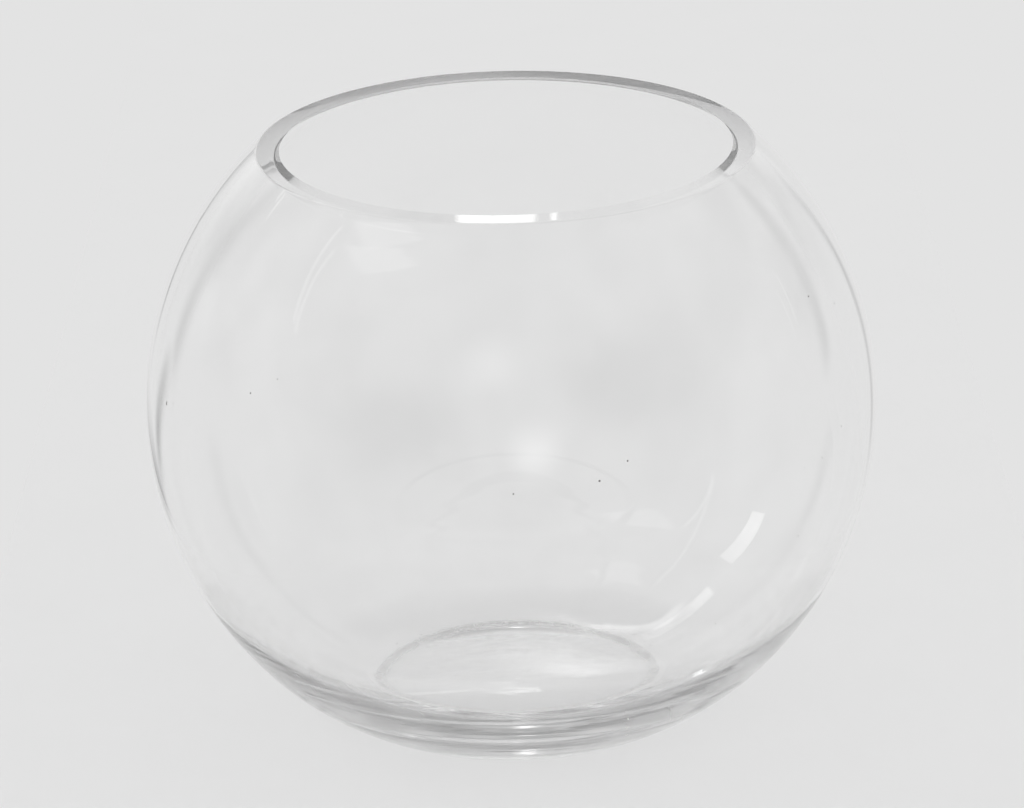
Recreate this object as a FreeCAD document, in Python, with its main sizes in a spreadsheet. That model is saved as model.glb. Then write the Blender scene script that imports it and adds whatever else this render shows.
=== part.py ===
import FreeCAD, Part
import math
import os
import Sketcher

# A clear glass rose bowl: one ball of blown glass with its top cut away for a wide mouth. The cut
# is ground to a flat rim, and the underside is ground to a flat foot. Millimetres, with +Z up and
# the origin at the centre of the foot, where the bowl stands.

NODE = "glass_bowl"

# Sizes that are each set by themselves. Angles are in degrees below the waist, the bowl's widest part.
SET_SIZES = [
    ("ball_radius", 100.0),  # outside of the ball at the waist
    ("mouth_radius", 67.0),  # outside of the ground rim
    ("foot_radius", 42.0),  # outside of the ground foot
    ("heel_radius", 80.0),  # tighter curve that turns the ball in towards the foot
    ("heel_start", 40.0),  # where that curve begins
    ("rim_land", 6.0),  # width of the ground rim
    ("waist_wall", 2.6),  # glass at the waist, where the ball was blown thinnest
    ("base_thickness", 6.5),  # glass under the middle of the floor
    ("floor_radius", 260.0),  # shallow dish of the floor
    ("corner_start", 25.0),  # where the inside turns in towards the floor
    ("foot_ring", 4.0),  # width of the ground ring round the underside
    ("hollow_depth", 0.4),  # rise of the shallow hollow inside that ring
    ("outer_polish", 1.2),  # rounding of the rim's blunt outer edge
    ("inner_bevel", 0.6),  # bevel along the rim's sharp inner edge
    ("foot_polish", 1.5),  # rounding of the edge round the foot
    ("overrun", 5.0),  # how far the cuts run past the glass
]

# Sizes that follow from those. Heights are above the foot.
WORKED_OUT_SIZES = [
    ("heel_offset", "ball_radius - heel_radius"),
    ("heel_centre_out", "heel_offset * cos(heel_start)"),
    ("foot_drop", "sqrt(heel_radius^2 - (foot_radius - heel_centre_out)^2)"),
    ("ball_centre", "foot_drop + heel_offset * sin(heel_start)"),
    ("heel_end_out", "ball_radius * cos(heel_start)"),
    ("heel_end_up", "ball_centre - ball_radius * sin(heel_start)"),
    ("rim_rise", "sqrt(ball_radius^2 - mouth_radius^2)"),
    ("rim_height", "ball_centre + rim_rise"),
    ("mouth_inside", "mouth_radius - rim_land"),
    ("waist_inside", "ball_radius - waist_wall"),
    ("inside_shift", "(rim_rise^2 + mouth_inside^2 - waist_inside^2) / (2 * rim_rise)"),
    ("inside_centre", "ball_centre + inside_shift"),
    ("inside_radius", "sqrt(waist_inside^2 + inside_shift^2)"),
    ("floor_centre", "base_thickness + floor_radius"),
    ("floor_span", "floor_centre - inside_centre"),
    ("floor_excess", "floor_radius - inside_radius"),
    ("corner_lean", "2 * (floor_excess - floor_span * sin(corner_start))"),
    ("corner_offset", "(floor_span^2 - floor_excess^2) / corner_lean"),
    ("corner_radius", "inside_radius - corner_offset"),
    ("corner_centre_out", "corner_offset * cos(corner_start)"),
    ("corner_centre_up", "inside_centre - corner_offset * sin(corner_start)"),
    ("corner_top_out", "inside_radius * cos(corner_start)"),
    ("corner_top_up", "inside_centre - inside_radius * sin(corner_start)"),
    ("floor_share", "floor_radius / (floor_radius - corner_radius)"),
    ("floor_edge_out", "corner_centre_out * floor_share"),
    ("floor_edge_up", "floor_centre - (floor_centre - corner_centre_up) * floor_share"),
    ("hollow_radius", "foot_radius - foot_ring"),
    ("hollow_curve", "(hollow_radius^2 + hollow_depth^2) / (2 * hollow_depth)"),
    ("hollow_centre", "hollow_depth - hollow_curve"),
]

# Sketch language: an edge, its two ends and its centre, and the sketch's upright axis and origin.
EDGE, START, END, CENTRE = range(4)
UP_AXIS, ORIGIN = range(-2, 0)

doc = FreeCAD.newDocument("rose_bowl")
sizes = doc.addObject("Spreadsheet::Sheet", "sizes")
cells = [(alias, str(number)) for alias, number in SET_SIZES]
cells += [(alias, "=" + formula) for alias, formula in WORKED_OUT_SIZES]
for row, (alias, text) in enumerate(cells, start=1):
    sizes.set(f"A{row}", alias)
    sizes.set(f"B{row}", text)
    sizes.setAlias(f"B{row}", alias)
doc.recompute()

bowl = doc.addObject("PartDesign::Body", NODE)
bowl.Label = NODE
upright = next(plane for plane in bowl.Origin.OriginFeatures if plane.Role == "XZ_Plane")


def size(alias):
    """The number that the sheet holds under this name."""
    return float(sizes.get(alias))


def point(out, up):
    """A place in a cross-section: its distance from the axis and its height, each a size or zero."""
    return tuple(size(alias) if alias else 0.0 for alias in (out, up))


def half_section(name):
    """An empty sketch of half a cross-section, upright through the bowl's axis."""
    sketch = bowl.newObject("Sketcher::SketchObject", name)
    sketch.AttachmentSupport = (upright, "")
    sketch.MapMode = "FlatFace"
    return sketch


def add_line(sketch, start, end):
    """A straight edge."""
    return sketch.addGeometry(Part.LineSegment(FreeCAD.Vector(*start), FreeCAD.Vector(*end)))


def add_arc(sketch, centre, start, end):
    """An edge that turns anticlockwise about its centre."""
    first, last = (math.atan2(up - centre[1], out - centre[0]) for out, up in (start, end))
    circle = Part.Circle(FreeCAD.Vector(*centre), FreeCAD.Vector(0, 0, 1), math.dist(centre, start))
    return sketch.addGeometry(Part.ArcOfCircle(circle, first, last))


def relate(sketch, kind, *places):
    """Ties edges together without a size."""
    sketch.addConstraint(Sketcher.Constraint(kind, *places))


def measure(sketch, kind, alias, *places):
    """Holds a measure of the sketch to the size of this name."""
    index = sketch.addConstraint(Sketcher.Constraint(kind, *places, size(alias)))
    sketch.renameConstraint(index, alias)
    sketch.setExpression(f"Constraints.{alias}", f"sizes.{alias}")


def turn(kind, name, sketch):
    """Turns a half section all the way round the axis, as glass added or glass taken away."""
    feature = bowl.newObject(kind, name)
    feature.Profile = sketch
    feature.ReferenceAxis = (sketch, ["V_Axis"])
    feature.Angle = 360
    doc.recompute()
    return feature


def soften(kind, name, out, up, measured_by, alias):
    """Takes the sharpness off the circular edge that lies this far out and this high."""
    glass = bowl.Tip
    here = FreeCAD.Vector(size(out), 0, size(up) if up else 0)
    rings = [
        f"Edge{number}"
        for number, edge in enumerate(glass.Shape.Edges, start=1)
        if edge.isClosed() and edge.Vertexes[0].Point.isEqual(here, Part.Precision.approximation())
    ]
    feature = bowl.newObject(kind, name)
    feature.Base = (glass, rings)
    feature.setExpression(measured_by, f"sizes.{alias}")
    doc.recompute()


# Outside: the foot, the heel that turns in towards it, the ball up to the rim, and the rim's cut.
outside = half_section("outside")
foot = add_line(outside, point("", ""), point("foot_radius", ""))
heel_centre = (size("heel_centre_out"), size("foot_drop"))
heel_end = point("heel_end_out", "heel_end_up")
heel = add_arc(outside, heel_centre, point("foot_radius", ""), heel_end)
ball = add_arc(outside, point("", "ball_centre"), heel_end, point("mouth_radius", "rim_height"))
cut = add_line(outside, point("mouth_radius", "rim_height"), point("", "rim_height"))
axis = add_line(outside, point("", "rim_height"), point("", ""))
relate(outside, "Coincident", foot, START, ORIGIN, START)
relate(outside, "Horizontal", foot)
relate(outside, "Coincident", foot, END, heel, START)
relate(outside, "Tangent", heel, END, ball, START)
relate(outside, "PointOnObject", ball, CENTRE, UP_AXIS)
relate(outside, "Coincident", ball, END, cut, START)
relate(outside, "Horizontal", cut)
relate(outside, "Coincident", cut, END, axis, START)
relate(outside, "Coincident", axis, END, foot, START)
relate(outside, "Vertical", axis)
measure(outside, "DistanceX", "foot_radius", ORIGIN, START, foot, END)
measure(outside, "Radius", "heel_radius", heel)
measure(outside, "Radius", "ball_radius", ball)
measure(outside, "DistanceY", "ball_centre", ORIGIN, START, ball, CENTRE)
measure(outside, "DistanceX", "mouth_radius", ORIGIN, START, ball, END)
turn("PartDesign::Revolution", "blown_ball", outside)

# Inside: a dished floor, a corner that sweeps up from it, and a wall that runs thin past the waist
# and thickens again to the rim.
inside = half_section("inside")
floor_edge = point("floor_edge_out", "floor_edge_up")
corner_top = point("corner_top_out", "corner_top_up")
mouth = point("mouth_inside", "rim_height")
clear_height = size("rim_height") + size("overrun")
floor = add_arc(inside, point("", "floor_centre"), point("", "base_thickness"), floor_edge)
corner = add_arc(inside, point("corner_centre_out", "corner_centre_up"), floor_edge, corner_top)
wall = add_arc(inside, point("", "inside_centre"), corner_top, mouth)
rise = add_line(inside, mouth, (mouth[0], clear_height))
lid = add_line(inside, (mouth[0], clear_height), (0, clear_height))
middle = add_line(inside, (0, clear_height), point("", "base_thickness"))
relate(inside, "PointOnObject", floor, START, UP_AXIS)
relate(inside, "PointOnObject", floor, CENTRE, UP_AXIS)
relate(inside, "Tangent", floor, END, corner, START)
relate(inside, "Tangent", corner, END, wall, START)
relate(inside, "PointOnObject", wall, CENTRE, UP_AXIS)
relate(inside, "Coincident", wall, END, rise, START)
relate(inside, "Vertical", rise)
relate(inside, "Coincident", rise, END, lid, START)
relate(inside, "Horizontal", lid)
relate(inside, "Coincident", lid, END, middle, START)
relate(inside, "Coincident", middle, END, floor, START)
relate(inside, "Vertical", middle)
measure(inside, "DistanceY", "base_thickness", ORIGIN, START, floor, START)
measure(inside, "Radius", "floor_radius", floor)
measure(inside, "Radius", "corner_radius", corner)
measure(inside, "DistanceY", "inside_centre", ORIGIN, START, wall, CENTRE)
measure(inside, "DistanceX", "mouth_inside", ORIGIN, START, wall, END)
measure(inside, "DistanceY", "rim_height", ORIGIN, START, wall, END)
measure(inside, "DistanceY", "overrun", wall, END, rise, END)
turn("PartDesign::Groove", "blown_inside", inside)

# Underside: a shallow hollow, so that the bowl stands on a ground ring and not on its middle.
underside = half_section("underside")
edge_below = (size("hollow_radius"), -size("overrun"))
middle_below = (0, -size("overrun"))
hollow_top = point("", "hollow_depth")
hollow = add_arc(underside, point("", "hollow_centre"), point("hollow_radius", ""), hollow_top)
stem = add_line(underside, hollow_top, middle_below)
below = add_line(underside, middle_below, edge_below)
side = add_line(underside, edge_below, point("hollow_radius", ""))
relate(underside, "PointOnObject", hollow, CENTRE, UP_AXIS)
relate(underside, "Coincident", hollow, END, stem, START)
relate(underside, "PointOnObject", stem, END, UP_AXIS)
relate(underside, "Vertical", stem)
relate(underside, "Coincident", stem, END, below, START)
relate(underside, "Horizontal", below)
relate(underside, "Coincident", below, END, side, START)
relate(underside, "Vertical", side)
relate(underside, "Coincident", side, END, hollow, START)
relate(underside, "PointOnObject", hollow, START, ORIGIN)
measure(underside, "DistanceX", "hollow_radius", ORIGIN, START, hollow, START)
measure(underside, "DistanceY", "hollow_depth", ORIGIN, START, hollow, END)
measure(underside, "DistanceY", "overrun", side, START, side, END)
turn("PartDesign::Groove", "ground_hollow", underside)

# Sharp edges: grinding leaves them round the rim and the foot. They are polished round, except that
# the rim's inner edge gets a narrow bevel.
soften("PartDesign::Fillet", "rim_outer_edge", "mouth_radius", "rim_height", "Radius", "outer_polish")
soften("PartDesign::Chamfer", "rim_inner_edge", "mouth_inside", "rim_height", "Size", "inner_bevel")
soften("PartDesign::Fillet", "foot_edge", "foot_radius", "", "Radius", "foot_polish")

faulty = [item.Name for item in doc.Objects if {"Invalid", "Error"} & set(item.State)]
loose = [item.Name for item in (outside, inside, underside) if not item.FullyConstrained]
if faulty or loose:
    raise RuntimeError(f"failed: {faulty}, not fully held: {loose}")
if bowl.Shape.isNull() or not bowl.Shape.isValid() or len(bowl.Shape.Solids) != 1:
    raise RuntimeError(f"{NODE} is not one valid solid")

os.makedirs("parts", exist_ok=True)
bowl.Shape.exportStep(f"parts/{NODE}.step")
box = bowl.Shape.BoundBox
print(f"{NODE}: {box.XLength:.1f} x {box.YLength:.1f} x {box.ZLength:.1f} mm")
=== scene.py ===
import math

import bmesh
import bpy
from mathutils import Matrix, Quaternion, Vector, noise


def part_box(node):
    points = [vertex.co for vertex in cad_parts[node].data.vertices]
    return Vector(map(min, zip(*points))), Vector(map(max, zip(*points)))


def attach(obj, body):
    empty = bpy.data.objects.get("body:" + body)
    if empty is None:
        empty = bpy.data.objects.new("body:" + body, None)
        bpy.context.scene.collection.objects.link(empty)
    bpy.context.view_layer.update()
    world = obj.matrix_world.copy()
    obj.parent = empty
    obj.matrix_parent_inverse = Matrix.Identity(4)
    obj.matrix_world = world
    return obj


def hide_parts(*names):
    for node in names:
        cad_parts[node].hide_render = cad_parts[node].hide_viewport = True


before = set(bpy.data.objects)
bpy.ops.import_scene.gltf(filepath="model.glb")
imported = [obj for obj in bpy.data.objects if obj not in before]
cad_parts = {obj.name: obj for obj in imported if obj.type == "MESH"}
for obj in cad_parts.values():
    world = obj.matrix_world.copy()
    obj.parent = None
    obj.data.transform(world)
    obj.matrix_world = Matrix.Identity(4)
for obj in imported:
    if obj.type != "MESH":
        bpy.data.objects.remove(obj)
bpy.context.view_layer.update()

# Camera: a long lens 1.2 m from the middle of the ball and a little above it, so that the mouth
# shows as a shallow oval. It leans by about a degree, as the photographer's did.
lowest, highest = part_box("glass_bowl")
ball_radius = (highest.x - lowest.x) / 2
mouth_radius = 0.067
rim_height = highest.z
ball_centre = rim_height - math.sqrt(ball_radius**2 - mouth_radius**2)

picture_width = 1024
pixels_per_radian = 4373
camera_distance = 1.2
camera_elevation = math.radians(21.25)
camera_lean = math.radians(-1.3)
ball_left, ball_above = 0.8, 2.7  # pixels from the middle of the picture to the ball's centre

camera_data = bpy.data.cameras.new("camera")
camera_data.sensor_width = 36
camera_data.lens = pixels_per_radian / picture_width * camera_data.sensor_width
camera = bpy.data.objects.new("camera", camera_data)
bpy.context.collection.objects.link(camera)
bpy.context.scene.camera = camera
towards_camera = Vector((0, -math.cos(camera_elevation), math.sin(camera_elevation)))
upright = Vector((0, math.sin(camera_elevation), math.cos(camera_elevation)))
camera.location = Vector((0, 0, ball_centre)) + towards_camera * camera_distance
lean = Quaternion(towards_camera, camera_lean)
pixel_here = camera_distance / pixels_per_radian
aim = Vector((0, 0, ball_centre)) + lean @ (Vector((1, 0, 0)) * ball_left - upright * ball_above) * pixel_here
view = (aim - camera.location).to_track_quat("-Z", "Y")
camera.rotation_mode = "QUATERNION"
camera.rotation_quaternion = view @ Quaternion((0, 0, 1), camera_lean)

# Light: a white tent that is even all round for the floor. The glass also sees the dark cards behind it
# that draw its edges, the darker room in front of it, and the windows and lamps of the studio.
studio = bpy.data.worlds.new("studio")
bpy.context.scene.world = studio
studio.use_nodes = True
studio.cycles.sampling_method = "NONE"
studio_tree = studio.node_tree
studio_tree.nodes.clear()
backdrop_grey = 0.768

# one card: the mask is 1 on the card, 0 off it, and fades over its soft edge
card = bpy.data.node_groups.new("studio_card", "ShaderNodeTree")
for socket in ("Turn", "Height", "Half Width", "Half Height", "Soft", "Lean"):
    card.interface.new_socket(socket, in_out="INPUT", socket_type="NodeSocketFloat")
card.interface.new_socket("Direction", in_out="INPUT", socket_type="NodeSocketVector")
card.interface.new_socket("Mask", in_out="OUTPUT", socket_type="NodeSocketFloat")
card_in = card.nodes.new("NodeGroupInput")
card_out = card.nodes.new("NodeGroupOutput")
to_card = card.nodes.new("ShaderNodeVectorRotate")
to_card.rotation_type = "Z_AXIS"
card.links.new(card_in.outputs["Direction"], to_card.inputs["Vector"])
card.links.new(card_in.outputs["Turn"], to_card.inputs["Angle"])
parts = card.nodes.new("ShaderNodeSeparateXYZ")
card.links.new(to_card.outputs[0], parts.inputs[0])
across = card.nodes.new("ShaderNodeMath")
across.operation = "ARCTAN2"
card.links.new(parts.outputs["X"], across.inputs[0])
card.links.new(parts.outputs["Y"], across.inputs[1])
rise = card.nodes.new("ShaderNodeMath")
rise.operation = "ARCSINE"
card.links.new(parts.outputs["Z"], rise.inputs[0])
above = card.nodes.new("ShaderNodeMath")
above.operation = "SUBTRACT"
card.links.new(rise.outputs[0], above.inputs[0])
card.links.new(card_in.outputs["Height"], above.inputs[1])
lean_here = card.nodes.new("ShaderNodeMath")
lean_here.operation = "MULTIPLY"
card.links.new(above.outputs[0], lean_here.inputs[0])
card.links.new(card_in.outputs["Lean"], lean_here.inputs[1])
straightened = card.nodes.new("ShaderNodeMath")
straightened.operation = "SUBTRACT"
card.links.new(across.outputs[0], straightened.inputs[0])
card.links.new(lean_here.outputs[0], straightened.inputs[1])
edges = []
for offset, half in ((straightened, "Half Width"), (above, "Half Height")):
    distance = card.nodes.new("ShaderNodeMath")
    distance.operation = "ABSOLUTE"
    card.links.new(offset.outputs[0], distance.inputs[0])
    inner_edge = card.nodes.new("ShaderNodeMath")
    inner_edge.operation = "SUBTRACT"
    outer_edge = card.nodes.new("ShaderNodeMath")
    outer_edge.operation = "ADD"
    for edge in (inner_edge, outer_edge):
        card.links.new(card_in.outputs[half], edge.inputs[0])
        card.links.new(card_in.outputs["Soft"], edge.inputs[1])
    fade = card.nodes.new("ShaderNodeMapRange")
    fade.interpolation_type = "SMOOTHSTEP"
    card.links.new(distance.outputs[0], fade.inputs["Value"])
    card.links.new(inner_edge.outputs[0], fade.inputs["From Min"])
    card.links.new(outer_edge.outputs[0], fade.inputs["From Max"])
    fade.inputs["To Min"].default_value = 1
    fade.inputs["To Max"].default_value = 0
    edges.append(fade)
both = card.nodes.new("ShaderNodeMath")
both.operation = "MULTIPLY"
card.links.new(edges[0].outputs[0], both.inputs[0])
card.links.new(edges[1].outputs[0], both.inputs[1])
card.links.new(both.outputs[0], card_out.inputs["Mask"])

# turn from straight behind the bowl, height, half width, half height and soft edge in degrees, how far
# the card leans to the right as it rises, and its brightness
room_cards = (
    (0, 46, 24, 11, 5, 0, 0.06),
    (180, 12, 75, 34, 25, 0, 0.60),
    (135, 24, 20, 14, 10, 0, 0.30),
    (-148, 12, 16, 12, 8, 0, 0.34),
    (-46.5, 10, 2.5, 18, 3.5, 0, 0.26),
    (-37.5, -15.5, 2.5, 6, 2.5, -0.9, 0.25),
    (54, 11, 2.2, 15, 3, -0.43, 0.06),
    (-19, -30, 8, 9, 3, 0, 0.36),
    (26.5, -9, 1.5, 13, 2, 0.2, 0.55),
    (-18, -5, 0.8, 8, 1, 0.5, 0.35),
)
# the same for the windows, the lamps and the bright gaps between the cards
studio_lights = (
    (-89, 36, 0.8, 11, 0.8, 0.66, 1.7),
    (-101, 56.5, 9.5, 6.3, 1.5, -1.46, 1.8),
    (-1.6, 28.5, 1.4, 4.5, 2, 0.35, 2.6),
    (-3.6, 36.7, 0.8, 3, 0.8, 1, 2.8),
    (-16.5, 37.7, 3, 3.8, 1.5, -2.7, 2.2),
    (-46.5, 30, 0.6, 4, 0.6, 1.1, 1.8),
    (173, 6.2, 6, 6, 5.5, 0, 2.1),
    (151, 33.6, 1, 1, 3, 0, 1.1),
    (180, 21.6, 1, 1, 3, 0, 1.0),
    (107, 42, 0.4, 3, 0.4, -4, 1.3),
    (69.5, 12, 0.3, 5, 0.3, -0.3, 1.3),
    (-0.15, 18.9, 0.54, 0.9, 0.06, 0, 2.5),
    (0.65, 18.8, 0.03, 0.3, 0.04, 0, 2.9),
)
# what stands in the room makes it mottled above the height of the table
direction = studio_tree.nodes.new("ShaderNodeTexCoord")
clouds = studio_tree.nodes.new("ShaderNodeTexNoise")
clouds.inputs["Scale"].default_value = 3
clouds.inputs["Detail"].default_value = 4
studio_tree.links.new(direction.outputs["Generated"], clouds.inputs["Vector"])
mottle = studio_tree.nodes.new("ShaderNodeMapRange")
mottle.inputs["From Min"].default_value = 0.35
mottle.inputs["From Max"].default_value = 0.65
mottle.inputs["To Min"].default_value = 0.65
mottle.inputs["To Max"].default_value = 1.25
studio_tree.links.new(clouds.outputs["Fac"], mottle.inputs["Value"])


def add_card(behind, turn, height, half_width, half_height, soft, card_lean, level):
    """Hangs one card or lamp in front of what is behind it, and returns the brightness of both."""
    this_card = studio_tree.nodes.new("ShaderNodeGroup")
    this_card.node_tree = card
    this_card.inputs["Turn"].default_value = math.radians(turn)
    this_card.inputs["Height"].default_value = math.radians(height)
    this_card.inputs["Half Width"].default_value = math.radians(half_width)
    this_card.inputs["Half Height"].default_value = math.radians(half_height)
    this_card.inputs["Soft"].default_value = math.radians(soft)
    this_card.inputs["Lean"].default_value = card_lean
    studio_tree.links.new(direction.outputs["Generated"], this_card.inputs["Direction"])
    lit = studio_tree.nodes.new("ShaderNodeMix")
    lit.inputs["A"].default_value = backdrop_grey
    lit.inputs["B"].default_value = level
    studio_tree.links.new(this_card.outputs["Mask"], lit.inputs["Factor"])
    if behind:
        studio_tree.links.new(behind, lit.inputs["A"])
    return lit.outputs["Result"]


brightness = None
for room_card in room_cards:
    brightness = add_card(brightness, *room_card)
heights = studio_tree.nodes.new("ShaderNodeSeparateXYZ")
studio_tree.links.new(direction.outputs["Generated"], heights.inputs[0])
above_table = studio_tree.nodes.new("ShaderNodeMapRange")
above_table.inputs["From Min"].default_value = -0.05
above_table.inputs["From Max"].default_value = 0.15
studio_tree.links.new(heights.outputs["Z"], above_table.inputs["Value"])
room = studio_tree.nodes.new("ShaderNodeMix")
room.inputs["A"].default_value = 1
studio_tree.links.new(above_table.outputs[0], room.inputs["Factor"])
studio_tree.links.new(mottle.outputs[0], room.inputs["B"])
uneven = studio_tree.nodes.new("ShaderNodeMath")
uneven.operation = "MULTIPLY"
studio_tree.links.new(brightness, uneven.inputs[0])
studio_tree.links.new(room.outputs["Result"], uneven.inputs[1])
brightness = uneven.outputs[0]
for studio_light in studio_lights:
    brightness = add_card(brightness, *studio_light)

# the floor gets the even light of the tent, and the camera sees a plain backdrop
rays = studio_tree.nodes.new("ShaderNodeLightPath")
for ray, level in (("Diffuse Depth", 1.0), ("Is Camera Ray", backdrop_grey)):
    seen = studio_tree.nodes.new("ShaderNodeMix")
    seen.inputs["B"].default_value = level
    studio_tree.links.new(rays.outputs[ray], seen.inputs["Factor"])
    studio_tree.links.new(brightness, seen.inputs["A"])
    brightness = seen.outputs["Result"]
tent = studio_tree.nodes.new("ShaderNodeBackground")
studio_tree.links.new(brightness, tent.inputs["Color"])
studio_out = studio_tree.nodes.new("ShaderNodeOutputWorld")
studio_tree.links.new(tent.outputs[0], studio_out.inputs["Surface"])

# a small lamp with a grid, behind the bowl on the left, which shows low on the right of the glass
lamp_data = bpy.data.lights.new("small_lamp", "AREA")
lamp_data.shape = "RECTANGLE"
lamp_data.size, lamp_data.size_y = 0.024, 0.066
lamp_data.energy = 0.0012
lamp_data.spread = math.radians(56)
small_lamp = bpy.data.objects.new("small_lamp", lamp_data)
bpy.context.collection.objects.link(small_lamp)
small_lamp.location = (-0.125, 0.147, 0.150)
lamp_back = Vector((-0.79, 0.414, 0.451)).normalized()
lamp_along = Vector((0.65, 0.35, 0.68))
lamp_along = (lamp_along - lamp_back * lamp_along.dot(lamp_back)).normalized()
lamp_axes = Matrix((lamp_along.cross(lamp_back), lamp_along, lamp_back)).transposed()
small_lamp.rotation_mode = "QUATERNION"
small_lamp.rotation_quaternion = lamp_axes.to_quaternion()
small_lamp.visible_camera = False

# light crosses the glass many times along the wall before it comes out
bounces = 160
scene = bpy.context.scene
scene.view_settings.view_transform = "Standard"
scene.cycles.max_bounces = bounces
scene.cycles.transmission_bounces = bounces
scene.cycles.glossy_bounces = bounces
scene.cycles.blur_glossy = 0

# Floor: a long sheet of matt, pale grey paper, laid flat on a table under the bowl. It is narrow, so the
# glass sees it below and the white tent on both sides.
paper_width = 0.31
paper_length = 1.3
paper_middle = 0.25
paper_top = -0.0001  # just under the foot, so that the two don't touch
paper_mesh = bpy.data.meshes.new("floor_paper")
sheet = bmesh.new()
bmesh.ops.create_grid(sheet, x_segments=12, y_segments=40, size=0.5)
bmesh.ops.scale(sheet, vec=(paper_width, paper_length, 1), verts=sheet.verts)
sheet.to_mesh(paper_mesh)
sheet.free()
floor_paper = bpy.data.objects.new("floor_paper", paper_mesh)
bpy.context.collection.objects.link(floor_paper)
floor_paper.location = (0, paper_middle, paper_top)

# the grain of paper, ash and lime: a cloud texture, fixed to the piece, that mixes two tones
grain = bpy.data.node_groups.new("grain", "ShaderNodeTree")
for socket in ("Scale", "Detail"):
    grain.interface.new_socket(socket, in_out="INPUT", socket_type="NodeSocketFloat")
for socket in ("Dark Tone", "Light Tone"):
    grain.interface.new_socket(socket, in_out="INPUT", socket_type="NodeSocketColor")
grain.interface.new_socket("Tone", in_out="OUTPUT", socket_type="NodeSocketColor")
grain.interface.new_socket("Height", in_out="OUTPUT", socket_type="NodeSocketFloat")
grain_in = grain.nodes.new("NodeGroupInput")
grain_out = grain.nodes.new("NodeGroupOutput")
grain_place = grain.nodes.new("ShaderNodeTexCoord")
grain_clouds = grain.nodes.new("ShaderNodeTexNoise")
grain.links.new(grain_place.outputs["Object"], grain_clouds.inputs["Vector"])
grain.links.new(grain_in.outputs["Scale"], grain_clouds.inputs["Scale"])
grain.links.new(grain_in.outputs["Detail"], grain_clouds.inputs["Detail"])
grain_tone = grain.nodes.new("ShaderNodeMix")
grain_tone.data_type = "RGBA"
grain.links.new(grain_clouds.outputs["Fac"], grain_tone.inputs["Factor"])
grain.links.new(grain_in.outputs["Dark Tone"], grain_tone.inputs["A"])
grain.links.new(grain_in.outputs["Light Tone"], grain_tone.inputs["B"])
grain.links.new(grain_tone.outputs["Result"], grain_out.inputs["Tone"])
grain.links.new(grain_clouds.outputs["Fac"], grain_out.inputs["Height"])


def add_grain(material, scale, detail, dark_tone, light_tone):
    """Colours a material with a grain of its own, and returns the height of the grain."""
    this_grain = material.node_tree.nodes.new("ShaderNodeGroup")
    this_grain.node_tree = grain
    this_grain.inputs["Scale"].default_value = scale
    this_grain.inputs["Detail"].default_value = detail
    this_grain.inputs["Dark Tone"].default_value = dark_tone
    this_grain.inputs["Light Tone"].default_value = light_tone
    shader = material.node_tree.nodes["Principled BSDF"]
    material.node_tree.links.new(this_grain.outputs["Tone"], shader.inputs["Base Color"])
    return this_grain.outputs["Height"]


paper = bpy.data.materials.new("floor_paper")
paper.use_nodes = True
paper_shader = paper.node_tree.nodes["Principled BSDF"]
paper_shader.inputs["Roughness"].default_value = 1
paper_shader.inputs["Specular IOR Level"].default_value = 0
add_grain(paper, 30, 2, (0.762, 0.762, 0.762, 1), (0.774, 0.774, 0.774, 1))
paper_mesh.materials.append(paper)

# Bowl: one gather of clear soda-lime glass, blown into a ball. Its top is cut off and ground to a flat
# rim, and its underside is ground to a ring that it stands on. The wall is thin at the waist.
foot_radius = 0.042
heel_radius = 0.080
heel_start = math.radians(40)
rim_land = 0.006
waist_wall = 0.0026
base_thickness = 0.0065
floor_radius = 0.260
corner_start = math.radians(25)
hollow_radius = 0.038
hollow_depth = 0.0004
outer_polish = 0.0005
inner_bevel = 0.00005
foot_polish = 0.0012
steps_round = 360
wall_steps = 200  # points along the cross-section, for each of its stretches
bend_steps = 90
floor_steps = 30
hollow_steps = 16
foot_polish_steps = 6
rim_polish_steps = 10
level_steps = 6


def arc(centre_out, centre_up, radius, start, end, steps):
    """Points along a circle of the cross-section, as distance from the axis and height."""
    angles = [start + (end - start) * step / steps for step in range(steps + 1)]
    return [(centre_out + radius * math.cos(a), centre_up + radius * math.sin(a)) for a in angles]


def level_run(start, end, height):
    """Points along a level stretch of the cross-section, without its first."""
    return [(start + (end - start) * step / level_steps, height) for step in range(1, level_steps + 1)]


def rounded(start, corner, end, steps):
    """Points that turn a sharp corner into a smooth one."""
    shares = [step / steps for step in range(1, steps + 1)]
    return [
        tuple((1 - t) ** 2 * a + 2 * t * (1 - t) * b + t * t * c for a, b, c in zip(start, corner, end))
        for t in shares
    ]


heel_offset = ball_radius - heel_radius
heel_out = heel_offset * math.cos(heel_start)
heel_up = ball_centre - heel_offset * math.sin(heel_start)
mouth_inside = mouth_radius - rim_land
rim_rise = rim_height - ball_centre
waist_inside = ball_radius - waist_wall
inside_shift = (rim_rise**2 + mouth_inside**2 - waist_inside**2) / (2 * rim_rise)
inside_up = ball_centre + inside_shift
inside_radius = math.hypot(waist_inside, inside_shift)
floor_up = base_thickness + floor_radius
floor_span = floor_up - inside_up
floor_excess = floor_radius - inside_radius
corner_lean = 2 * (floor_excess - floor_span * math.sin(corner_start))
corner_offset = (floor_span**2 - floor_excess**2) / corner_lean
corner_radius = inside_radius - corner_offset
corner_out = corner_offset * math.cos(corner_start)
corner_up = inside_up - corner_offset * math.sin(corner_start)
corner_end = math.atan2(corner_up - floor_up, corner_out)
hollow_curve = (hollow_radius**2 + hollow_depth**2) / (2 * hollow_depth)
hollow_end = math.atan2(hollow_curve - hollow_depth, hollow_radius)

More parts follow.
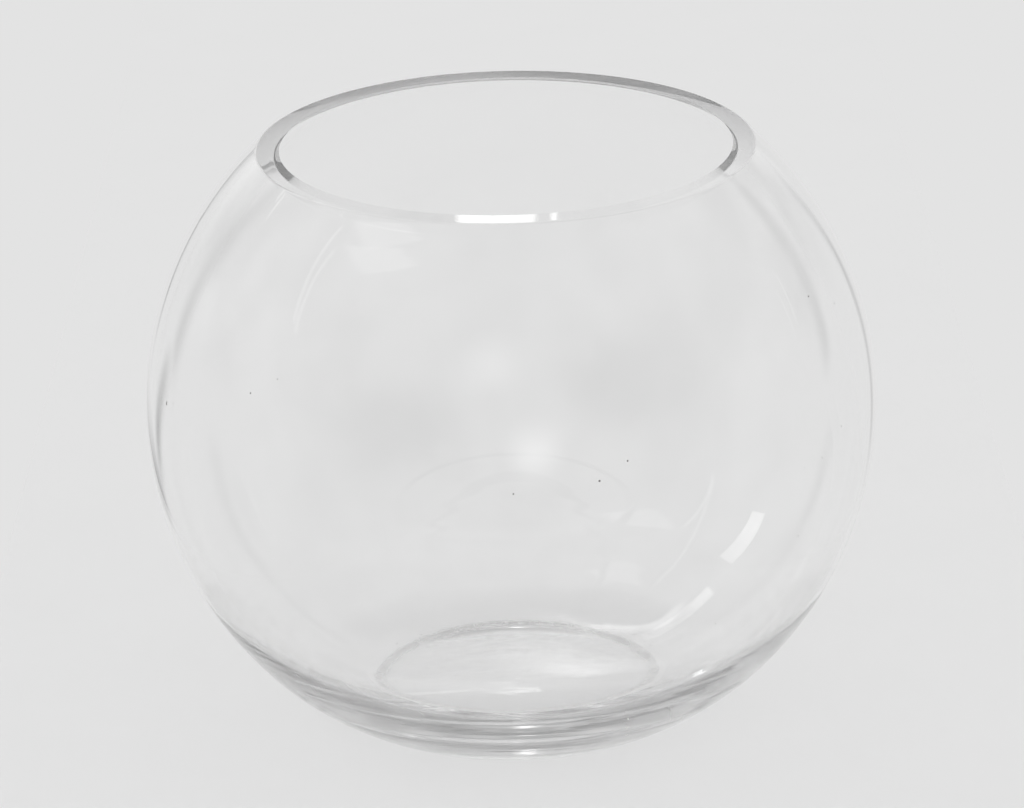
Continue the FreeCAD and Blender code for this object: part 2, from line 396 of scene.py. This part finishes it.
# from the middle of the hollow under the foot, up the outside, over the rim and down to the floor inside
section = arc(0, hollow_depth - hollow_curve, hollow_curve, math.pi / 2, hollow_end, hollow_steps)
section += level_run(hollow_radius, foot_radius - foot_polish, 0)
heel_foot = math.atan2(-heel_up, foot_radius - heel_out) + 2 * foot_polish / heel_radius
heel = arc(heel_out, heel_up, heel_radius, heel_foot, -heel_start, bend_steps)
section += rounded(section[-1], (foot_radius, 0), heel[0], foot_polish_steps) + heel[1:]
rim_angle = math.atan2(rim_rise, mouth_radius) - outer_polish / ball_radius
section += arc(0, ball_centre, ball_radius, -heel_start, rim_angle, wall_steps)[1:]
land_outside = mouth_radius - outer_polish
section += rounded(section[-1], (mouth_radius, rim_height), (land_outside, rim_height), rim_polish_steps)
outer_points = len(section)
section += level_run(land_outside, mouth_inside + inner_bevel, rim_height)
lip = math.atan2(rim_height - inside_up, mouth_inside) - inner_bevel / inside_radius
section += arc(0, inside_up, inside_radius, lip, -corner_start, wall_steps)
section += arc(corner_out, corner_up, corner_radius, -corner_start, corner_end, bend_steps)[1:]
section += arc(0, floor_up, floor_radius, corner_end, -math.pi / 2, floor_steps)[1:]

# how the blown glass differs from that: slow waves over all but the rim and the foot, set in so that none
# stands out of the true shape, fine rings round the heel, and a rim that is thicker in places
wave_fade = 0.02
set_in = 0.0002
slow_waves, slow_wave_height = 14, 0.00015
fine_waves, fine_wave_height = 30, 0.00001
inside_seed = Vector((3.1, 7.7, 1.3))
ring_waves, ring_height = 1500, 0.000008
ring_wander, ring_wander_waves = 5, 8
rings_top, rings_fade, rings_bottom = 0.032, 0.010, 0.004
lip_depth = 0.03
front_extra, back_extra, left_extra = 0.0015, 0.0006, 0.0003


def as_blown(place, inside):
    """Where this point of the true shape lies in the real glass."""
    seed = inside_seed if inside else Vector((0, 0, 0))
    slow_wave = noise.noise(place * slow_waves + seed) * slow_wave_height
    fine_wave = noise.noise(place * fine_waves + seed) * fine_wave_height
    fade_rim = min(1, max(0, (rim_height - place.z) / wave_fade))
    waves_start = 0.006 if inside else 0.002
    fade_foot = min(1, max(0, (place.z - waves_start) / wave_fade))
    swell = (set_in + slow_wave + fine_wave) * fade_rim * fade_foot
    heel_only = min(1, max(0, (rings_top - place.z) / rings_fade)) * min(1, place.z / rings_bottom)
    wander = noise.noise(place * ring_wander_waves) * ring_wander
    ring = 0 if inside else math.sin(place.z * ring_waves + wander) * ring_height * heel_only
    to_middle = (Vector((0, 0, ball_centre)) - place).normalized()
    blown_place = place + to_middle * (swell + ring)
    if inside and place.z > rim_height - lip_depth:
        out = math.hypot(place.x, place.y)
        front, left = -place.y / out, max(0, -place.x / out)
        extra = (front_extra if front > 0 else back_extra) * front**2 + left_extra * left
        below_rim = (rim_height - place.z) / lip_depth
        across_land = (mouth_radius - out) / rim_land if below_rim < 1e-6 else 1
        blown_place -= Vector((place.x, place.y, 0)) / out * extra * (1 - below_rim) ** 2 * across_land
    return blown_place


blown = bmesh.new()
rings = []
for number, (out, up) in enumerate(section):
    inside = number >= outer_points
    if out < 1e-6:
        rings.append([blown.verts.new((0, 0, up))])
        continue
    ring = []
    for step in range(steps_round):
        turn = math.tau * step / steps_round
        place = Vector((out * math.cos(turn), out * math.sin(turn), up))
        ring.append(blown.verts.new(as_blown(place, inside)))
    rings.append(ring)
for first, second in zip(rings, rings[1:]):
    for step in range(steps_round):
        after = (step + 1) % steps_round
        if len(first) == 1:
            blown.faces.new((first[0], second[after], second[step]))
        elif len(second) == 1:
            blown.faces.new((first[step], first[after], second[0]))
        else:
            blown.faces.new((first[step], first[after], second[after], second[step]))
bmesh.ops.recalc_face_normals(blown, faces=blown.faces)
for face in blown.faces:
    face.smooth = True
sharpest_smooth = math.radians(30)
for edge in blown.edges:
    edge.smooth = edge.calc_face_angle() < sharpest_smooth
blown_mesh = bpy.data.meshes.new("blown_bowl")
blown.to_mesh(blown_mesh)
blown.free()
blown_bowl = bpy.data.objects.new("blown_bowl", blown_mesh)
bpy.context.collection.objects.link(blown_bowl)
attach(blown_bowl, "root")
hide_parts("glass_bowl")

# the glass is only a little grey in its depth
glass = bpy.data.materials.new("clear_glass")
glass.use_nodes = True
glass_tree = glass.node_tree
glass_shader = glass_tree.nodes["Principled BSDF"]
glass_shader.inputs["Transmission Weight"].default_value = 1
glass_shader.inputs["IOR"].default_value = 1.5
glass_depth = glass_tree.nodes.new("ShaderNodeVolumeAbsorption")
glass_depth.inputs["Color"].default_value = (0, 0, 0, 1)
glass_depth.inputs["Density"].default_value = 2.3
glass_tree.links.new(glass_depth.outputs[0], glass_tree.nodes["Material Output"].inputs["Volume"])
glass_place = glass_tree.nodes.new("ShaderNodeTexCoord")


def glass_math(operation, first, second):
    """Adds a sum or product of two masks to the glass."""
    sum_node = glass_tree.nodes.new("ShaderNodeMath")
    sum_node.operation = operation
    for value, socket in zip((first, second), sum_node.inputs):
        if isinstance(value, (int, float)):
            socket.default_value = value
        else:
            glass_tree.links.new(value, socket)
    return sum_node.outputs[0]


def glass_fade(value, start, end, low, high):
    """Adds a soft step to the glass, from low at the start to high at the end."""
    step_node = glass_tree.nodes.new("ShaderNodeMapRange")
    step_node.interpolation_type = "SMOOTHSTEP"
    glass_tree.links.new(value, step_node.inputs["Value"])
    step_node.inputs["From Min"].default_value = start
    step_node.inputs["From Max"].default_value = end
    step_node.inputs["To Min"].default_value = low
    step_node.inputs["To Max"].default_value = high
    return step_node.outputs[0]


def glass_noise(scale, detail):
    """Adds a cloud texture to the glass, fixed to the bowl."""
    noise_node = glass_tree.nodes.new("ShaderNodeTexNoise")
    noise_node.inputs["Scale"].default_value = scale
    noise_node.inputs["Detail"].default_value = detail
    glass_tree.links.new(glass_place.outputs["Object"], noise_node.inputs["Vector"])
    return noise_node.outputs["Fac"]


# where each point lies: its height, and its distance from the axis
glass_height = glass_tree.nodes.new("ShaderNodeSeparateXYZ")
glass_tree.links.new(glass_place.outputs["Object"], glass_height.inputs[0])
flat_place = glass_tree.nodes.new("ShaderNodeVectorMath")
flat_place.operation = "MULTIPLY"
flat_place.inputs[1].default_value = (1, 1, 0)
glass_tree.links.new(glass_place.outputs["Object"], flat_place.inputs[0])
from_axis = glass_tree.nodes.new("ShaderNodeVectorMath")
from_axis.operation = "LENGTH"
glass_tree.links.new(flat_place.outputs[0], from_axis.inputs[0])
out_here, up_here = from_axis.outputs["Value"], glass_height.outputs["Z"]

# the ground ring under the foot, with the dirt of the tables it stood on, and painted shade where the foot
# stands on the floor
underside = glass_fade(up_here, 0.0006, 0.0018, 1, 0)
ring_inside = glass_fade(out_here, 0.0358, 0.0396, 0, 1)
ring_outside = glass_fade(out_here, 0.0402, 0.0422, 1, 0)
dirt = glass_fade(glass_noise(190, 6), 0.30, 0.66, 0.35, 1)
ground_ring = glass_math("MULTIPLY", glass_math("MULTIPLY", ring_inside, ring_outside), underside)
ring_dirt_and_shade = glass_math("MULTIPLY", ground_ring, dirt)
specks = glass_math("MULTIPLY", glass_fade(glass_noise(900, 2), 0.66, 0.72, 0, 1), underside)

# the ground rim, a lime haze on the back wall below its middle, and faint wipe marks all over
ground_rim = glass_fade(up_here, rim_height - 0.0003, rim_height - 0.0001, 0, 1)
haze_place = glass_tree.nodes.new("ShaderNodeVectorMath")
haze_place.operation = "DISTANCE"
haze_place.inputs[1].default_value = (-0.007, 0.095, 0.066)
glass_tree.links.new(glass_place.outputs["Object"], haze_place.inputs[0])
haze = glass_fade(haze_place.outputs["Value"], 0.012, 0.034, 0.16, 0)
wipes = glass_fade(glass_noise(22, 4), 0.52, 0.75, 0, 0.012)
roughness = glass_math("MULTIPLY", ring_dirt_and_shade, 0.45)
for amount in (haze, wipes, glass_math("MULTIPLY", ground_rim, 0.008)):
    roughness = glass_math("ADD", roughness, amount)
glass_tree.links.new(roughness, glass_shader.inputs["Roughness"])

# the glass is clear but for the dirt, and the painted shade on the ground ring where the foot stands on the
# floor
glass_tone = glass_tree.nodes.new("ShaderNodeMix")
glass_tone.data_type = "RGBA"
glass_tone.inputs["A"].default_value = (1, 1, 1, 1)
glass_tone.inputs["B"].default_value = (0.36, 0.36, 0.35, 1)
dirt_and_painted_shade = glass_math("ADD", glass_math("MULTIPLY", ring_dirt_and_shade, 0.28), glass_math("MULTIPLY", specks, 0.5))
glass_tree.links.new(dirt_and_painted_shade, glass_tone.inputs["Factor"])
glass_tree.links.new(glass_tone.outputs["Result"], glass_shader.inputs["Base Color"])

# the floor inside is uneven, as blown, and the rim keeps fine marks of the grinding
middle = glass_fade(out_here, 0.030, 0.046, 1, 0)
over_foot = glass_fade(up_here, 0.004, 0.005, 0, 1)
under_wall = glass_fade(up_here, 0.012, 0.016, 1, 0)
floor_only = glass_math("MULTIPLY", glass_math("MULTIPLY", middle, over_foot), under_wall)
uneven_floor = glass_math("MULTIPLY", glass_math("MULTIPLY", glass_noise(90, 3), floor_only), 0.00008)
ground_marks = glass_math("MULTIPLY", glass_math("MULTIPLY", glass_noise(1400, 2), ground_rim), 0.0000008)
glass_bump = glass_tree.nodes.new("ShaderNodeBump")
glass_bump.inputs["Distance"].default_value = 1
glass_tree.links.new(glass_math("ADD", uneven_floor, ground_marks), glass_bump.inputs["Height"])
glass_tree.links.new(glass_bump.outputs[0], glass_shader.inputs["Normal"])
blown_mesh.materials.append(glass)

# Grit: dark specks of ash and dust that settled on the outside of the glass and baked on. Each is a
# fraction of a millimetre across and sits half in the glass.
grit_marks = (
    # turn from the front to the right in degrees, height, half width and half length in millimetres
    (-68.0, 104.4, 0.24, 0.60),
    (-44.8, 118.5, 0.208, 0.208),
    (-39.8, 123.8, 0.16, 0.16),
    (0, 101.7, 0.192, 0.192),
    (12.8, 103.6, 0.288, 0.24),
    (17.3, 107.8, 0.224, 0.224),
    (61.2, 132.7, 0.24, 0.208),
    (69.0, 126.9, 0.192, 0.16),
    (60.9, 98.0, 0.16, 0.16),
    (54.4, 93.0, 0.128, 0.16),
    (49.6, 93.0, 0.128, 0.128),
    (48.8, 74.0, 0.144, 0.144),
    (33.4, 55.5, 0.16, 0.128),
)
grit_depth = 0.4  # of its smaller half size
lump_height = 0.45  # of its half size
lump_waves = 1.7
lump_shift = 900  # gives each fleck its own part of the noise


def on_outside(turn, height):
    """A place on the outside of the glass: where it is, and the ways to its right, up it and out of it."""
    for (out, up), (next_out, next_up) in zip(section, section[1:outer_points]):
        if up <= height < next_up:
            break
    share = (height - up) / (next_up - up)
    around = Vector((math.sin(turn), -math.cos(turn), 0))
    place = around * (out + (next_out - out) * share) + Vector((0, 0, height))
    along = (around * (next_out - out) + Vector((0, 0, next_up - up))).normalized()
    sideways = Vector((math.cos(turn), math.sin(turn), 0))
    return as_blown(place, False), sideways, along, sideways.cross(along)


def add_fleck(flecks, turn, height, half_width, half_length, half_depth):
    """Adds one rough lump, half of it in the glass. Its sizes are in metres."""
    place, sideways, along, outward = on_outside(turn, height)
    made = bmesh.ops.create_icosphere(flecks, subdivisions=3, radius=1)
    for vert in made["verts"]:
        rough = 1 + lump_height * noise.noise(vert.co * lump_waves + place * lump_shift)
        x, y, z = vert.co * rough
        vert.co = place + sideways * (x * half_width) + along * (y * half_length) + outward * (z * half_depth)


grit = bmesh.new()
for turn, height, half_width, half_length in grit_marks:
    depth = grit_depth * min(half_width, half_length)
    add_fleck(grit, math.radians(turn), height / 1000, half_width / 1000, half_length / 1000, depth / 1000)
for face in grit.faces:
    face.smooth = True
grit_mesh = bpy.data.meshes.new("grit")
grit.to_mesh(grit_mesh)
grit.free()
grit_flecks = bpy.data.objects.new("grit", grit_mesh)
bpy.context.collection.objects.link(grit_flecks)
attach(grit_flecks, "root")

ash = bpy.data.materials.new("grit")
ash.use_nodes = True
ash_shader = ash.node_tree.nodes["Principled BSDF"]
ash_shader.inputs["Roughness"].default_value = 0.8
ash_height = add_grain(ash, 6000, 3, (0.11, 0.105, 0.10, 1), (0.34, 0.33, 0.32, 1))
ash_bump = ash.node_tree.nodes.new("ShaderNodeBump")
ash_bump.inputs["Distance"].default_value = 0.00005
ash.node_tree.links.new(ash_height, ash_bump.inputs["Height"])
ash.node_tree.links.new(ash_bump.outputs[0], ash_shader.inputs["Normal"])
grit_mesh.materials.append(ash)

# Lime: three white drops of hard water, dried one above the other on the heel, and the white of the
# hair scratches that the glass picked up near its foot and on its right side.
lime_marks = (
    # turn from the front to the right in degrees, height, half width and half length in millimetres
    (21.9, 25.4, 0.30, 0.34),
    (23.0, 20.9, 0.30, 0.30),
    (24.5, 16.6, 0.26, 0.34),
)
lime_depth = 0.0001
scratch_marks = (
    # turn in degrees and height in millimetres, where each starts and where it ends
    (-18.7, 32.2, -17.8, 29.9),
    (-11.6, 32.0, -9.9, 30.1),
    (30.2, 26.9, 36.1, 15.4),
    (41.5, 53.0, 38.6, 50.0),
)
scratch_width = 0.00008
scratch_ridge = 0.3  # height of its middle, of its half width
scratch_sink = 0.00002  # how deep its edges lie in the glass
scratch_bow = math.radians(0.25)
scratch_tip = 0.15  # width of its ends, of its full width
scratch_steps = 24

lime = bmesh.new()
for turn, height, half_width, half_length in lime_marks:
    add_fleck(lime, math.radians(turn), height / 1000, half_width / 1000, half_length / 1000, lime_depth)
for start_turn, start_height, end_turn, end_height in scratch_marks:
    before = None
    for step in range(scratch_steps + 1):
        share = step / scratch_steps
        swing = math.sin(share * math.pi)
        turn = math.radians(start_turn + (end_turn - start_turn) * share) + scratch_bow * swing
        height = start_height + (end_height - start_height) * share
        place, sideways, along, outward = on_outside(turn, height / 1000)
        half = scratch_width * (scratch_tip + swing) / 2
        edge_left = lime.verts.new(place - sideways * half - outward * scratch_sink)
        ridge = lime.verts.new(place + outward * half * scratch_ridge)
        edge_right = lime.verts.new(place + sideways * half - outward * scratch_sink)
        here = (edge_left, ridge, edge_right)
        if before:
            for side in range(3):
                after = (side + 1) % 3
                lime.faces.new((before[side], before[after], here[after], here[side]))
        else:
            lime.faces.new(here)
        before = here
    lime.faces.new(before[::-1])
bmesh.ops.recalc_face_normals(lime, faces=lime.faces)
for face in lime.faces:
    face.smooth = True
lime_mesh = bpy.data.meshes.new("lime_marks")
lime.to_mesh(lime_mesh)
lime.free()
lime_flecks = bpy.data.objects.new("lime_marks", lime_mesh)
bpy.context.collection.objects.link(lime_flecks)
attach(lime_flecks, "root")

chalk = bpy.data.materials.new("lime")
chalk.use_nodes = True
chalk_shader = chalk.node_tree.nodes["Principled BSDF"]
chalk_shader.inputs["Roughness"].default_value = 0.7
chalk_height = add_grain(chalk, 4000, 3, (0.72, 0.72, 0.70, 1), (0.88, 0.88, 0.87, 1))
chalk_bump = chalk.node_tree.nodes.new("ShaderNodeBump")
chalk_bump.inputs["Distance"].default_value = 0.00003
chalk.node_tree.links.new(chalk_height, chalk_bump.inputs["Height"])
chalk.node_tree.links.new(chalk_bump.outputs[0], chalk_shader.inputs["Normal"])
lime_mesh.materials.append(chalk)
